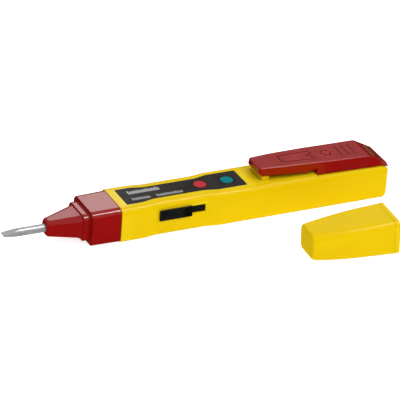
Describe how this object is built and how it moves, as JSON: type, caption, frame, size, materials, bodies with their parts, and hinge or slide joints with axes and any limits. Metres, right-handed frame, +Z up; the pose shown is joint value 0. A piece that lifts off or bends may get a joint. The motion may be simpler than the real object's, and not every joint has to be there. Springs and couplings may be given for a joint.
{
  "type": "non contact voltage tester",
  "caption": "Pen-style voltage tester: screwdriver-tip blade in a nose piece, waisted barrel, indicator windows, slide switch, sliding cell cover with pocket clip, loose blade guard.",
  "frame": {"origin": "middle of the barrel's flat underside, half way along the pen", "axes": "+X along the pen from the blade towards the cell cover, +Y away from the slide switch, +Z up towards the label and clip"},
  "size_m": [0.1548, 0.0594, 0.0191],
  "materials": {
    "yellow_plastic": "smooth moulded plastic, gloss",
    "red_plastic": "smooth moulded plastic, gloss",
    "label_film": "printed film, satin",
    "black_plastic": "moulded plastic, satin",
    "blade_steel": "ground steel",
    "spring_steel": "drawn wire",
    "nickel": "nickel plated sheet",
    "brass": "stamped sheet",
    "red_lens": "clear tinted plastic",
    "green_lens": "clear tinted plastic",
    "board_laminate": "glass-fibre laminate",
    "resistor_coat": "lacquer",
    "can_sleeve": "shrink sleeve",
    "lead_insulation": "soft insulation"
  },
  "bodies": {
    "barrel_body": {"barrel": "yellow_plastic", "nose_piece": "red_plastic", "label": "label_film", "control_chip": "black_plastic", "transistor_1": "black_plastic", "transistor_2": "black_plastic", "buzzer_case": "black_plastic", "blade": "blade_steel", "blade_spring": "spring_steel", "cell_spring": "spring_steel", "slide_switch": "nickel", "front_terminal": "nickel", "spring_plate": "nickel", "rear_contact": "nickel", "cell_1": "nickel", "cell_2": "nickel", "buzzer_disc": "brass", "red_lens": "red_lens", "red_led": "red_lens", "green_lens": "green_lens", "green_led": "green_lens", "circuit_board": "board_laminate", "safety_resistor": "resistor_coat", "bias_resistor": "resistor_coat", "smoothing_capacitor": "can_sleeve", "timing_capacitor": "can_sleeve", "cell_lead": "lead_insulation"},
    "cover_body": {"battery_cover": "red_plastic", "touch_contact": "brass"},
    "switch_body": {"switch_knob": "black_plastic", "switch_lever": "black_plastic"},
    "guard_body": {"blade_guard": "yellow_plastic"}
  },
  "joints": [
    {"name": "switch_slide", "type": "slide", "parent": "barrel_body", "child": "switch_body", "axis": [1, 0, 0], "range_m": [0, 0.006]},
    {"name": "cover_slide", "type": "slide", "parent": "barrel_body", "child": "cover_body", "axis": [1, 0, 0], "range_m": [0, 0.056]},
    {"name": "guard_slide", "type": "slide", "parent": "barrel_body", "child": "guard_body", "axis": [-0.9986, 0.0523, 0], "range_m": [0, 0.035]}
  ]
}
